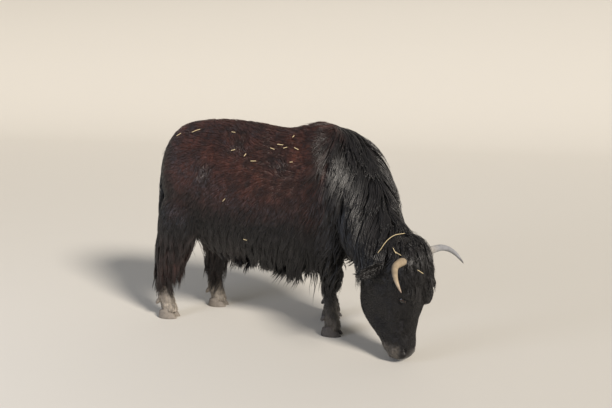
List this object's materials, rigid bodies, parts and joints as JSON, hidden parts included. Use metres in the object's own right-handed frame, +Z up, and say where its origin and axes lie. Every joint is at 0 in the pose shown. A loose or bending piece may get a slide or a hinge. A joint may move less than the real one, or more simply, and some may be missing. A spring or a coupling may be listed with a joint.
{
  "type": "yak",
  "caption": "Still life-size model of a shaggy black domestic yak cow, standing with its head down to graze, with short curved horns.",
  "frame": {"origin": "on the floor, under the middle of the model's box", "axes": "+X towards the animal's head, +Y to its left, +Z up"},
  "size_m": [1.7855, 1.0137, 1.1305],
  "materials": {
    "coat_black": "long coarse black hair",
    "coat_brown": "short black hair, bleached brown on the back",
    "coat_leg": "short black hair, dusty near the hooves",
    "horn": "smooth tan horn, darker at the tip",
    "hoof": "dusty grey horn",
    "eye": "wet and dark"
  },
  "bodies": {
    "root": {"torso": "coat_brown", "neck": "coat_black", "head": "coat_black", "tail": "coat_black", "ear_left": "coat_black", "horn_left": "horn", "eye_left": "eye", "ear_right": "coat_black", "horn_right": "horn", "eye_right": "eye", "leg_fore_right": "coat_black", "shank_fore_right": "coat_leg", "claw_fore_right_left": "hoof", "dewclaw_fore_right_left": "hoof", "claw_fore_right_right": "hoof", "dewclaw_fore_right_right": "hoof", "leg_fore_left": "coat_black", "shank_fore_left": "coat_leg", "claw_fore_left_left": "hoof", "dewclaw_fore_left_left": "hoof", "claw_fore_left_right": "hoof", "dewclaw_fore_left_right": "hoof", "leg_hind_right": "coat_black", "shank_hind_right": "coat_leg", "claw_hind_right_left": "hoof", "dewclaw_hind_right_left": "hoof", "claw_hind_right_right": "hoof", "dewclaw_hind_right_right": "hoof", "leg_hind_left": "coat_black", "shank_hind_left": "coat_leg", "claw_hind_left_left": "hoof", "dewclaw_hind_left_left": "hoof", "claw_hind_left_right": "hoof", "dewclaw_hind_left_right": "hoof"}
  },
  "joints": []
}
